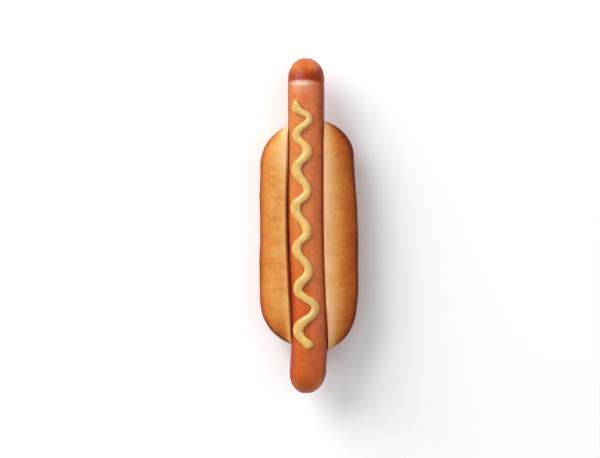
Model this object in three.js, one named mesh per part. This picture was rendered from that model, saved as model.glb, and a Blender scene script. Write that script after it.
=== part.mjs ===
// A hot dog: a long frankfurter in a soft bun that is cut along its top, with a squiggle of mustard
// along the sausage. The sausage is longer than the bun and stands out at both ends.
//
// Millimetres. +Y runs along the sausage to its back end, +X is to the right and +Z is up. The origin is
// on the ground, below the middle of the whole. The bun rests on a flat spot of its underside.

import * as THREE from 'three';
import { ParametricGeometry } from 'three/addons/geometries/ParametricGeometry.js';
import { mergeVertices } from 'three/addons/utils/BufferGeometryUtils.js';

const { degToRad, lerp, smoothstep } = THREE.MathUtils;

// ---------- driving dimensions ----------

const SAUSAGE_LENGTH = 218.2;
const SAUSAGE_RADIUS = 11.8;
const SAUSAGE_TIP = 14.5; // length of each rounded tip
const SAUSAGE_HEIGHT = 27; // axis above the ground
const SAUSAGE_SHIFT = -1.95; // the axis lies left of the bun's middle
const BOW = { sideways: 2.1, at: -72, backReach: 43, frontReach: 26.5 }; // the front swings to the right
const BACK_DROOP = { from: 91, slope: 0.28, softness: 1.5 };
const FRONT_DROOP = { from: 90, slope: 0.14, softness: 5 };

const BUN_HALF_WIDTH = 32.1;
const BUN_WIDEST_HEIGHT = 17.5;
const BUN_TOP_RISE = 16.5; // from the widest height to the top that an uncut bun would have
const BUN_BOTTOM_DROP = 19; // reaches below the ground, where the bun is pressed flat
const BUN_SQUARENESS = 2.3; // exponent of the section's superellipse
const BUN_UNEVENNESS = 0.008; // share of the bread's thickness
// The unevenness is a sum of waves that run along the bun (per millimetre) and round its section.
const BUN_WAVES = [
  { share: 1, along: 0.07, round: 2.5, phase: 0 },
  { share: 0.6, along: 0.12, round: -4, phase: 1 },
];
const RIGHT_TAPER = { from: 0, slope: 0.065, softness: 5 }; // narrows the right lobe towards its back
// Seen from above, each lobe is straight in the middle and rounds off in a quarter superellipse.
const CORNERS = {
  left: {
    back: { from: 39.2, length: 27.6, power: 2 },
    front: { from: 47, length: 30.5, power: 2.2 },
  },
  right: {
    back: { from: 46.5, length: 21.3, power: 2 },
    front: { from: 40.9, length: 40.8, power: 2.5 },
  },
};
const END_TONGUE = 2.5; // how far the bread under the sausage reaches past the lobes
const LOBE_BLEND = 0.7; // share of the way to a lip by which the left half has turned into the right half

const SLOT_GAP = 0.35; // clearance round the sausage
const CUT_HEIGHT = 9; // bottom of the cut at mid length
const CUT_HEIGHT_AT_ENDS = 12;
const CUT_ROUNDING = 0.12; // radians either side of the bottom
const LIP_ROUNDING = 1.9; // width of the rounded edge beside the slot
// Angles of the lips round the sausage, from straight below it. Each lip changes over the last stretch of
// its lobe.
const LIPS = {
  left: {
    middle: degToRad(99),
    back: { angle: degToRad(106), from: 28, to: 50 },
    front: { angle: degToRad(104), from: 34, to: 64 },
  },
  right: {
    middle: degToRad(113),
    back: { angle: degToRad(109), from: 50, to: 67 },
    front: { angle: degToRad(98), from: 50, to: 80 },
  },
};
const CLEARANCE_FROM = 0.5; // share of the way to a lip from which its own clearance opens
// More clearance at the left lip, which closes towards both ends.
const LEFT_GAP = { width: 0.5, back: { from: 16, to: 38 }, front: { from: 8, to: 30 } };
const FRONT_RIGHT_FLARE = { from: 76, slope: 0.1, softness: 1.5 };

const MUSTARD_HALF_WIDTH = 2.8;
const MUSTARD_SWELLS = { atTurns: 0.07, atLeftTurns: 0.06 }; // shares of the half width
const MUSTARD_START = { share: 0.8, fullFrom: 2, fullTo: 4 }; // the first turns are thinner
const MUSTARD_HEIGHT = 2.6; // of the bead
const MUSTARD_GAP = 0.3; // clearance above the sausage
const MUSTARD_FLANK = 0.35; // share of the height at which the bead is widest
const MUSTARD_TIP = 3.2; // length of each rounded end
const MUSTARD_ROUNDNESS = 0.15; // 0 swings as a plain cosine, more makes fuller turns
// The turns of the squiggle: how far along the sausage, and how far to the right of its axis.
const MUSTARD_TURNS = [
  [81, -7], [75.8, -5.9], [68.5, 1.9], [58.2, -6.2], [47.7, 0.7], [36.1, -6.2], [22.2, 0.7], [11.5, -6.9],
  [-3.9, 0.3], [-14.9, -6.5], [-28.7, 0.9], [-41.1, -6.5], [-52.9, 4.2], [-67.3, -7], [-82, 2.2],
];
const MUSTARD_END = 13.8; // the squiggle stops in the last half turn

const SAUSAGE_SIDES = 26;
const SAUSAGE_RINGS = 36;
const BUN_SIDES = 60;
const BUN_RINGS = 34;
const MUSTARD_SIDES = 8;
const MUSTARD_RINGS = 88;
const WELD_DISTANCE = 1e-4;

// ---------- small helpers ----------

// Zero before `from`, then a straight slope, with a soft bend between them.
function softRamp(distance, { from, slope, softness }) {
  return slope * softness * Math.log1p(Math.exp((distance - from) / softness));
}

// A sine warp of -1..1 that draws the steps together towards both ends.
function crowded(t) {
  return Math.sin((Math.PI / 2) * t);
}

function signedPower(value, exponent) {
  return Math.sign(value) * Math.abs(value) ** exponent;
}

// Welds the seams and poles of a surface, so that it becomes one closed shell.
function closedShell(geometry) {
  geometry.deleteAttribute('normal');
  geometry.deleteAttribute('uv');
  const welded = mergeVertices(geometry, WELD_DISTANCE);
  const corners = welded.index.array;
  const kept = [];
  for (let i = 0; i < corners.length; i += 3) {
    const [a, b, c] = corners.slice(i, i + 3);
    if (a !== b && b !== c && c !== a) {
      kept.push(a, b, c);
    }
  }
  welded.setIndex(kept);
  welded.computeVertexNormals();
  return welded;
}

function piece(name, geometry, material) {
  const mesh = new THREE.Mesh(closedShell(geometry), material);
  mesh.name = name;
  return mesh;
}

// ---------- sausage ----------

function axisX(y) {
  const reach = y > BOW.at ? BOW.backReach : BOW.frontReach;
  return SAUSAGE_SHIFT + BOW.sideways * Math.exp(-(((y - BOW.at) / reach) ** 2));
}

function axisZ(y) {
  return SAUSAGE_HEIGHT - softRamp(y, BACK_DROOP) - softRamp(-y, FRONT_DROOP);
}

// A straight, round profile with elliptical tips is turned about Y, then bent to the axis.
function sausageGeometry() {
  const half = SAUSAGE_LENGTH / 2;
  const profile = [];
  for (let i = 0; i <= SAUSAGE_RINGS; i += 1) {
    const y = half * crowded((2 * i) / SAUSAGE_RINGS - 1);
    const intoTip = Math.max(0, (Math.abs(y) - (half - SAUSAGE_TIP)) / SAUSAGE_TIP);
    const radius = SAUSAGE_RADIUS * Math.sqrt(Math.max(0, 1 - intoTip ** 2));
    profile.push(new THREE.Vector2(radius, y));
  }
  const geometry = new THREE.LatheGeometry(profile, SAUSAGE_SIDES);
  const position = geometry.attributes.position;
  for (let i = 0; i < position.count; i += 1) {
    const y = position.getY(i);
    position.setX(i, position.getX(i) + axisX(y));
    position.setZ(i, position.getZ(i) + axisZ(y));
  }
  return geometry;
}

// ---------- bun ----------

// 0 on the left half of the bun, 1 on the right half, with a soft change under the sausage.
function rightness(s) {
  return smoothstep(s, -LOBE_BLEND, LOBE_BLEND);
}

function cornerAt(s, end) {
  const share = rightness(s);
  const left = CORNERS.left[end];
  const right = CORNERS.right[end];
  return {
    from: lerp(left.from, right.from, share),
    length: lerp(left.length, right.length, share) + END_TONGUE * (1 - s * s),
    power: lerp(left.power, right.power, share),
    slot: lerp(slotShare(left, end, -1), slotShare(right, end, 1), share),
  };
}

// The share of the bun's half width that the sausage takes where a lobe ends.
function slotShare({ from, length }, end, side) {
  const y = end === 'back' ? from + length : -from - length;
  return (SAUSAGE_RADIUS + SLOT_GAP + side * axisX(y)) / BUN_HALF_WIDTH;
}

function cornerEnd({ from, length, power, slot }) {
  return from + length * (1 - slot ** power) ** (1 / power);
}

// The thickness of the bread against mid length: 1 in the straight middle, 0 where a lobe ends.
function fullness(s, y) {
  const { from, length, power, slot } = cornerAt(s, y > 0 ? 'back' : 'front');
  const intoCorner = Math.max(0, (Math.abs(y) - from) / length);
  const outline = Math.max(0, 1 - intoCorner ** power) ** (1 / power);
  return Math.max(0, (outline - slot) / (1 - slot));
}

// The slot's wall at angle share s of the lips: round under the sausage's sides, then straight down to
// the bottom of the cut.
function slotWall(s, y, full) {
  const side = s < 0 ? LIPS.left : LIPS.right;
  const end = y > 0 ? side.back : side.front;
  const angle = s * lerp(side.middle, end.angle, smoothstep(Math.abs(y), end.from, end.to));
  const radius = SAUSAGE_RADIUS + SLOT_GAP;
  const height = axisZ(y);
  const bottom = lerp(CUT_HEIGHT_AT_ENDS, CUT_HEIGHT, Math.sqrt(full));
  const tangent = Math.acos(Math.min(1, radius / (height - bottom)));
  const rounded = Math.hypot(angle, CUT_ROUNDING);
  let distance = radius / Math.cos(Math.max(0, tangent - rounded));
  const beside = smoothstep(Math.abs(s), CLEARANCE_FROM, 1);
  if (s < 0) {
    const closing = y > 0 ? LEFT_GAP.back : LEFT_GAP.front;
    distance += beside * LEFT_GAP.width * (1 - smoothstep(Math.abs(y), closing.from, closing.to));
  } else {
    distance += beside * softRamp(-y, FRONT_RIGHT_FLARE);
  }
  return {
    x: axisX(y) + distance * Math.sin(angle),
    z: height - distance * Math.cos(angle),
  };
}

// The crust at share s of the way from the bottom to a lip: a superellipse, flattened by the ground and
// rounded off at the lip.
function crust(s, y, lip) {
  const halfWidth = BUN_HALF_WIDTH - (s > 0 ? softRamp(y, RIGHT_TAPER) : 0);
  const lipAngle = Math.PI - Math.asin((Math.abs(lip.x) / halfWidth) ** (BUN_SQUARENESS / 2));
  const angle = lipAngle * s;
  const exponent = 2 / BUN_SQUARENESS;
  const x = halfWidth * signedPower(Math.sin(angle), exponent);
  const across = signedPower(Math.cos(angle), exponent);
  const z = BUN_WIDEST_HEIGHT - across * (across > 0 ? BUN_BOTTOM_DROP : BUN_TOP_RISE);
  const fromLip = Math.abs(x - lip.x);
  if (across > 0 || fromLip > LIP_ROUNDING) {
    return { x, z };
  }
  const lipTop = BUN_WIDEST_HEIGHT + BUN_TOP_RISE * Math.abs(Math.cos(lipAngle)) ** exponent;
  const drop = 1 - Math.sqrt(1 - (1 - fromLip / LIP_ROUNDING) ** 2);
  return { x, z: z - (lipTop - lip.z) * drop };
}

function unevenness(s, y) {
  const waves = BUN_WAVES.map((wave) => wave.share * Math.sin(wave.along * y + wave.round * s + wave.phase));
  return BUN_UNEVENNESS * waves.reduce((sum, wave) => sum + wave, 0);
}

// u runs round the section, over the crust from the right lip to the left one and back along the slot's
// wall. v runs from the front end to the back end. Crust and wall meet at both ends.
function bunGeometry() {
  const onSurface = (u, v, target) => {
    const onCrust = u <= 0.5;
    const s = crowded(onCrust ? 1 - 4 * u : 4 * u - 3);
    const back = cornerEnd(cornerAt(s, 'back'));
    const front = -cornerEnd(cornerAt(s, 'front'));
    const y = (back + front) / 2 + ((back - front) / 2) * crowded(2 * v - 1);
    const full = v === 0 || v === 1 ? 0 : fullness(s, y);
    const wall = slotWall(s, y, full);
    if (!onCrust || full === 0 || Math.abs(s) === 1) {
      target.set(wall.x, y, wall.z);
      return;
    }
    const outer = crust(s, y, slotWall(Math.sign(s) || 1, y, full));
    const share = full * (1 + unevenness(s, y));
    const x = wall.x + share * (outer.x - wall.x);
    const z = wall.z + share * (outer.z - wall.z);
    target.set(x, y, Math.max(0, z));
  };
  return new ParametricGeometry(onSurface, BUN_SIDES, BUN_RINGS);
}

// ---------- mustard ----------

// The squiggle's middle line at turn t, as the distance along and the distance across. It swings from each
// turn to the next in half a cosine, and hurries along the sausage where it turns.
function squiggle(t) {
  const turn = Math.min(Math.floor(t), MUSTARD_TURNS.length - 2);
  const [fromAlong, fromAcross] = MUSTARD_TURNS[turn];
  const [toAlong, toAcross] = MUSTARD_TURNS[turn + 1];
  const part = t - turn;
  const progress = part + (MUSTARD_ROUNDNESS * Math.sin(2 * Math.PI * part)) / (2 * Math.PI);
  const swing = (1 - Math.cos(Math.PI * part)) / 2;
  return new THREE.Vector2(
    lerp(fromAlong, toAlong, progress),
    lerp(fromAcross, toAcross, swing),
  );
}

// The bead's half width at turn t: it swells where it turns, and most at the left turns, which are odd.
function beadHalfWidth(t) {
  const { atTurns, atLeftTurns } = MUSTARD_SWELLS;
  const { share, fullFrom, fullTo } = MUSTARD_START;
  const swell = atTurns * Math.cos(2 * Math.PI * t) + atLeftTurns * Math.cos(Math.PI * (t - 1));
  return MUSTARD_HALF_WIDTH * (1 + swell) * lerp(share, 1, smoothstep(t, fullFrom, fullTo));
}

// A flat-bottomed bead laid along the squiggle and wrapped over the sausage.
function mustardGeometry() {
  const averageTurn = (MUSTARD_TURNS[0][0] - MUSTARD_TURNS.at(-1)[0]) / (MUSTARD_TURNS.length - 1);
  const roundedTurns = MUSTARD_TIP / averageTurn;
  const step = 1e-3; // in turns, to find which way the line heads
  const onSurface = (u, v, target) => {
    const t = MUSTARD_END * v;
    const fromTip = Math.min(1, Math.min(t, MUSTARD_END - t) / roundedTurns);
    const fullWidth = Math.sqrt(1 - (1 - fromTip) ** 2);
    const middle = squiggle(t);
    const ahead = squiggle(t + step).sub(squiggle(t - step < 0 ? 0 : t - step)).normalize();
    const around = -2 * Math.PI * u;
    const sideways = beadHalfWidth(t) * fullWidth * Math.cos(around);
    const lift = Math.sin(around);
    const rise = lift > 0 ? MUSTARD_FLANK + (1 - MUSTARD_FLANK) * lift : MUSTARD_FLANK * (1 - lift * lift);
    const along = middle.x - ahead.y * sideways;
    const across = middle.y + ahead.x * sideways;
    const radius = SAUSAGE_RADIUS + MUSTARD_GAP + MUSTARD_HEIGHT * fullWidth * rise;
    const angle = Math.asin(across / (SAUSAGE_RADIUS + MUSTARD_HEIGHT * MUSTARD_FLANK));
    target.set(axisX(along) + radius * Math.sin(angle), along, axisZ(along) + radius * Math.cos(angle));
  };
  return new ParametricGeometry(onSurface, MUSTARD_SIDES, MUSTARD_RINGS);
}

// ---------- the hot dog ----------

const bread = new THREE.MeshStandardMaterial({ color: 0xe09a58, roughness: 0.75, metalness: 0 });
const skin = new THREE.MeshStandardMaterial({ color: 0xc8683a, roughness: 0.4, metalness: 0 });
const sauce = new THREE.MeshStandardMaterial({ color: 0xeec77e, roughness: 0.45, metalness: 0 });

const hotDog = new THREE.Group();
hotDog.add(piece('bun', bunGeometry(), bread));
hotDog.add(piece('sausage', sausageGeometry(), skin));
hotDog.add(piece('mustard', mustardGeometry(), sauce));

export default hotDog;
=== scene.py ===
"""A hot dog, seen from straight above on a pale table: a soft bun, a long frankfurter and a squiggle of
mustard.

Every piece is a surface worked out from a few sizes, in metres: +Y runs along the sausage to its back end,
+X is to the right and +Z is up. Lengths along the bun are y, and s runs round its section, from -1 at the
left lip of the slot, past 0 at the bottom, to 1 at the right lip.
"""

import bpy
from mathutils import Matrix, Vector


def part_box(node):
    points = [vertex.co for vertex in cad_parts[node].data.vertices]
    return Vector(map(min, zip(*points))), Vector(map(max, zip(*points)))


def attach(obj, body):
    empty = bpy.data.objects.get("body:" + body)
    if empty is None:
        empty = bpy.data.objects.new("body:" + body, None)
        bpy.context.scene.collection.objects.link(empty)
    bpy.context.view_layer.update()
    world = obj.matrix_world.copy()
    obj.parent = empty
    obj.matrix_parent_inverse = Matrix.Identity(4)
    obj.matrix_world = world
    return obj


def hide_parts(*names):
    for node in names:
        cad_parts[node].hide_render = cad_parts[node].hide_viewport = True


bl_info = {
    "name": "Hot dog",
    "version": (1, 0, 0),
    "blender": (4, 5, 0),
    "location": "3D View > Sidebar > Hot dog",
    "description": "Makes a hot dog with a squiggle of mustard, and a stage to show it on",
    "category": "Add Mesh",
}

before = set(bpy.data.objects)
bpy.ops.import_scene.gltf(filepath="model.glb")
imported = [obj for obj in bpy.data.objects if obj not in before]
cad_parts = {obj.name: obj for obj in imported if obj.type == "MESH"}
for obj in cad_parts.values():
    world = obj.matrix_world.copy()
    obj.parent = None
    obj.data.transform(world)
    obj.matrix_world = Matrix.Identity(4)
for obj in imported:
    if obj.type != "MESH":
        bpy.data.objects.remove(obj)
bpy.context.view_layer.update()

import math

import bpy
import numpy as np
from bpy.props import FloatProperty, FloatVectorProperty, PointerProperty
from bpy.types import Operator, Panel, PropertyGroup
from mathutils import Vector

MM = 0.001
SAUSAGE_LOW, SAUSAGE_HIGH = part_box("sausage")


# ---------- numbers and curves ----------

RATE_SPREAD = (0.7, 1.4)


def lerp(a, b, share):
    """Straight mix of a and b."""
    return a + (b - a) * share


def smoothstep(value, low, high):
    """0 below low, 1 above high, and a smooth S between them."""
    t = np.clip((value - low) / (high - low), 0, 1)
    return t * t * (3 - 2 * t)


def soft_ramp(distance, start, slope, softness):
    """0 before start, then a straight slope, with a soft bend between them: slope times a soft maximum
    with 0."""
    return slope * softness * np.logaddexp(0, (distance - start) / softness)


def crowded(count):
    """count + 1 values from -1 to 1, drawn together towards both ends as the sine of even steps."""
    return np.sin(np.pi / 2 * np.linspace(-1, 1, count + 1))


def signed_power(value, exponent):
    """The power of the value's size, with the value's sign."""
    return np.sign(value) * np.abs(value) ** exponent


def unevenness(points, wavelength, seed, waves=28):
    """A smooth random field of about -1 to 1: the sum of sines along random directions, with random phases
    and with rates a little either side of the wavelength's."""
    draw = np.random.default_rng(seed)
    directions = draw.normal(size=(waves, 3))
    directions /= np.linalg.norm(directions, axis=1, keepdims=True)
    rates = 2 * np.pi / wavelength * draw.uniform(*RATE_SPREAD, waves)
    phases = draw.uniform(0, 2 * np.pi, waves)
    field = np.zeros(len(points))
    for direction, rate, phase in zip(directions, rates, phases):
        field += np.sin(points @ direction * rate + phase)
    return field / math.sqrt(waves)


def waves_relief(points, waves):
    """The sum of unevennesses, each with its own size, height and seed."""
    return sum(height * unevenness(points, size, seed) for size, height, seed in waves)


# ---------- meshes ----------


def make_piece(name, points, faces, material):
    """A smooth-shaded mesh object at the origin."""
    mesh = bpy.data.meshes.new(name)
    mesh.from_pydata(points, [], faces)
    mesh.update()
    mesh.shade_smooth()
    mesh.materials.append(material)
    piece = bpy.data.objects.new(name, mesh)
    bpy.context.collection.objects.link(piece)
    return piece


def vertex_values(mesh):
    """Positions and normals of a mesh's vertices, as two arrays."""
    points = np.empty(len(mesh.vertices) * 3)
    mesh.vertices.foreach_get("co", points)
    normals = np.empty(len(mesh.vertices) * 3)
    mesh.vertex_normals.foreach_get("vector", normals)
    return points.reshape(-1, 3), normals.reshape(-1, 3)


def move_vertices(mesh, points):
    """Puts a mesh's vertices at these points."""
    mesh.vertices.foreach_set("co", points.ravel())
    mesh.update()


def store(mesh, name, values):
    """Keeps one number for each vertex under a name that a material can read."""
    layer = mesh.attributes.new(name, "FLOAT", "POINT")
    layer.data.foreach_set("value", np.asarray(values, dtype=np.float32))


def ring_quads(rows, columns):
    """Quads between the closed rings of a surface, one ring for each row: two neighbours on a ring and the
    same two on the next ring."""
    row = np.arange(rows - 1)[:, None] * columns
    here = np.arange(columns)[None, :]
    there = (here + 1) % columns
    corners = [row + here, row + there, row + columns + there, row + columns + here]
    return np.stack(corners, axis=-1).reshape(-1, 4)


def capped_tube(rings, first, last):
    """Points and faces of a tube through rings (rows, columns, 3) that closes on a pole at either end."""
    rows, columns = rings.shape[:2]
    points = np.concatenate([rings.reshape(-1, 3), [first, last]])
    here = np.arange(columns)
    there = (here + 1) % columns
    start, end = rows * columns, rows * columns + 1
    top = (rows - 1) * columns
    faces = ring_quads(rows, columns).tolist()
    faces += np.stack([np.full(columns, start), there, here], axis=-1).tolist()
    faces += np.stack([np.full(columns, end), top + here, top + there], axis=-1).tolist()
    return points, faces


# ---------- the sausage's axis ----------

AXIS_SHIFT = -1.95 * MM  # the axis lies left of the bun's middle
BOW_SIDEWAYS, BOW_AT, BOW_BACK_REACH, BOW_FRONT_REACH = 2.1 * MM, -72 * MM, 43 * MM, 26.5 * MM
BACK_DROOP = {"start": 91 * MM, "slope": 0.28, "softness": 1.5 * MM}
FRONT_DROOP = {"start": 90 * MM, "slope": 0.14, "softness": 5 * MM}


def axis_x(y):
    """The axis swings to the right in its front stretch, as a bell curve that is wider on its back side:
    the sideways bow times exp(-(distance from the bow's place / reach)^2)."""
    reach = np.where(y > BOW_AT, BOW_BACK_REACH, BOW_FRONT_REACH)
    return AXIS_SHIFT + BOW_SIDEWAYS * np.exp(-(((y - BOW_AT) / reach) ** 2))


def axis_z(y):
    """The axis is level inside the bun and droops past both ends, in a soft ramp at each."""
    height = bpy.context.scene.hot_dog_sausage.axis_height
    return height - soft_ramp(y, **BACK_DROOP) - soft_ramp(-y, **FRONT_DROOP)


# ---------- materials ----------


def feed(tree, socket, value):
    """Links another node's output to the socket, or sets the socket to a plain value."""
    if isinstance(value, bpy.types.NodeSocket):
        tree.links.new(value, socket)
    else:
        socket.default_value = value


def add_node(tree, kind, settings=None, **inputs):
    """A node with its settings and inputs. An input is a value or another node's output."""
    node = tree.nodes.new(kind)
    for name, value in (settings or {}).items():
        setattr(node, name, value)
    for name, value in inputs.items():
        feed(tree, node.inputs[name.replace("_", " ")], value)
    return node


def new_material(name, **shader):
    """A material whose one shader has these inputs, and its node tree."""
    material = bpy.data.materials.new(name)
    material.use_nodes = True
    principled = material.node_tree.nodes["Principled BSDF"]
    for key, value in shader.items():
        principled.inputs[key.replace("_", " ")].default_value = value
    return material, material.node_tree, principled


def object_point(tree, stretch=(1, 1, 1)):
    """Object coordinates, with the pattern stretched along each axis by these factors."""
    point = add_node(tree, "ShaderNodeTexCoord").outputs["Object"]
    scale = tuple(1 / factor for factor in stretch)
    return add_node(tree, "ShaderNodeMapping", Vector=point, Scale=scale).outputs["Vector"]


def noise(tree, vector, size, detail=3, roughness=0.55, distortion=0):
    """Cloudy noise whose blotches are about `size` metres across."""
    node = add_node(tree, "ShaderNodeTexNoise", Vector=vector, Scale=1 / size, Detail=detail,
                    Roughness=roughness, Distortion=distortion)
    return node.outputs["Fac"]


def attribute(tree, name):
    """The values that are kept on the mesh under this name."""
    return add_node(tree, "ShaderNodeAttribute", {"attribute_name": name}).outputs["Fac"]


def maths(tree, operation, a, b, clamp=False):
    """One sum or product of two values. Each is a number or another node's output."""
    node = add_node(tree, "ShaderNodeMath", {"operation": operation, "use_clamp": clamp})
    feed(tree, node.inputs[0], a)
    feed(tree, node.inputs[1], b)
    return node.outputs[0]


def remap(tree, value, low, high, to_low=0.0, to_high=1.0):
    """low..high of the value becomes to_low..to_high, clamped, with soft ends."""
    node = add_node(tree, "ShaderNodeMapRange", {"interpolation_type": "SMOOTHSTEP"}, Value=value)
    for key, number in (("From Min", low), ("From Max", high), ("To Min", to_low), ("To Max", to_high)):
        node.inputs[key].default_value = number
    return node.outputs["Result"]


def mix_colours(tree, share, a, b, blend="MIX"):
    """Mixes a towards b by share. Each is a colour or another node's output."""
    node = add_node(tree, "ShaderNodeMix", {"data_type": "RGBA", "blend_type": blend})
    feed(tree, node.inputs[0], share)
    for index, value in ((6, a), (7, b)):
        is_output = isinstance(value, bpy.types.NodeSocket)
        feed(tree, node.inputs[index], value if is_output else (*value, 1))
    return node.outputs[2]


def bump(tree, height, distance, strength=1.0, under=None):
    """A bump of `distance` metres, over another bump where one is given."""
    node = add_node(tree, "ShaderNodeBump", Height=height, Distance=distance, Strength=strength)
    if under is not None:
        tree.links.new(under, node.inputs["Normal"])
    return node.outputs["Normal"]


# ---------- bun ----------

# Seen from above, each lobe is straight in the middle and rounds off in a quarter superellipse, which has
# a start, a length and a power.
CORNERS = {
    ("left", "back"): (39.2 * MM, 27.6 * MM, 2),
    ("left", "front"): (47 * MM, 30.5 * MM, 2.2),
    ("right", "back"): (46.5 * MM, 21.3 * MM, 2),
    ("right", "front"): (40.9 * MM, 40.8 * MM, 2.5),
}
END_TONGUE = 2.5 * MM  # how far the bread under the sausage reaches past the lobes
LOBE_BLEND = 0.7  # share of the way to a lip by which the left half has turned into the right half
SLOT_GAP = 0.2 * MM  # clearance round the sausage
CUT_HEIGHT, CUT_HEIGHT_AT_ENDS = 9 * MM, 12 * MM
CUT_ROUNDING = 0.12  # radians either side of the bottom of the cut
# Angles of the lips round the sausage, in degrees from straight below it: along the middle of each lobe,
# and at its ends, with the stretch over which they change.
LIP_ANGLES = {"left": 99, "right": 113}
LIP_END_ANGLES = {
    ("left", "back"): (106, 28 * MM, 50 * MM),
    ("left", "front"): (104, 34 * MM, 64 * MM),
    ("right", "back"): (109, 50 * MM, 67 * MM),
    ("right", "front"): (98, 50 * MM, 80 * MM),
}
# More clearance at the left lip, which closes over these stretches towards the back and the front, and at
# the right lip's front end. Each opens from this share of the way up to the lip.
LEFT_GAP = 0.5 * MM
GAP_CLOSES = {"back": (16 * MM, 38 * MM), "front": (8 * MM, 30 * MM)}
FRONT_RIGHT_FLARE = {"start": 76 * MM, "slope": 0.1, "softness": 1.5 * MM}
CLEARANCE_FROM = 0.5
RIGHT_TAPER = {"start": 0, "slope": 0.065, "softness": 5 * MM}  # narrows the right lobe towards its back
BUN_COLUMNS, BUN_ROWS = 440, 208
GROUND_SOFTNESS = 0.3 * MM  # of the bend where the ground presses the bun flat

# How baked the crust is, with painted shade in it. Steepness is 0 on top, 1 where the crust stands upright
# and 2 underneath, and each pair of numbers is where a change starts and where it is full.
UPRIGHT_BAKE = 0.89
SIDE_BAKE, SIDE_STEEPNESS = 0.24, (0.45, 0.8)
UNDERSIDE_PALING, UNDERSIDE_STEEPNESS = 0.45, (0.85, 1.5)
# The left lobe's front end is darkened as painted shade.
LEFT_FRONT_SHADE, LEFT_FRONT_STRETCH = 0.09, (44 * MM, 76 * MM)
RIGHT_ENDS_BAKE, RIGHT_MIDDLE, RIGHT_ENDS_STRETCH = 0.13, -16 * MM, (58 * MM, 78 * MM)
LIP_BEND = (1 * MM, 6 * MM)  # from the lip, whose rounding doesn't count as steep
LIP_PALING_REACH = 7 * MM
LEFT_LIP_PALING, LEFT_LIP_STRETCH, RIGHT_LIP_PALING = (-0.35, 0.95), (14 * MM, 50 * MM), 0.75
TONE_BLEND = 0.4  # share of the way to a lip by which the left lobe's tone has turned into the right's
# The crust gives way to the crumb this near the lips, on either side of them.
CRUST_THINS, THIN_CRUST = (0.985, 1), 0.3
CRUMB_BROWNS, BROWN_CRUMB = (0.96, 1), 0.7
# Painted shade on the slot's wall for the crevice beside the sausage: where it starts and is full up the
# wall, and from the ends.
SHADE_UP_THE_WALL, SHADE_FROM_THE_END = (0.2, 0.6), (0.1, 0.5)
# Relief of the bread: size of the lumps or pores, and height.
LUMPS_SIZE, KNOBS_SIZE, KNOBS_SHARE = 34 * MM, 12 * MM, 0.4
DIMPLES_SIZE, DIMPLES_HEIGHT = 4 * MM, 0.035 * MM
PORES_SIZE, PORES_DEPTH, PORES_WAVES, PORES_FROM = 2.6 * MM, 0.35 * MM, 48, 0.3
RELIEF_FADES_AT_LIP, RELIEF_FADES_AT_END = 0.06, 0.3

# Patterns of the crust's colour: their sizes, and how far each shifts the bake.
BLOTCHES_SIZE, WRINKLES_SIZE, MOTTLE_SIZE, GRAIN_SIZE = 15 * MM, 2.4 * MM, 3.2 * MM, 0.7 * MM
BAKE_SHIFTS = (0.05, 0.03, 0.04, 0.03)
PATTERN_RANGE = (0.28, 0.72)  # of the noise's values, which bunch round the middle
WRINKLES_STRETCH = (5, 1, 5)  # they run round the section
BAKE_TO_RAMP = 0.8
RAMP_POSITIONS = {"softest": 0, "pale": 0.24, "golden": 0.44, "chestnut": 0.62, "brown": 0.8, "darkest": 1}
CRUMB_PATTERN_SIZE, CRUMB_SHADES = 1.6 * MM, (0.82, 1.05)


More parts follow.
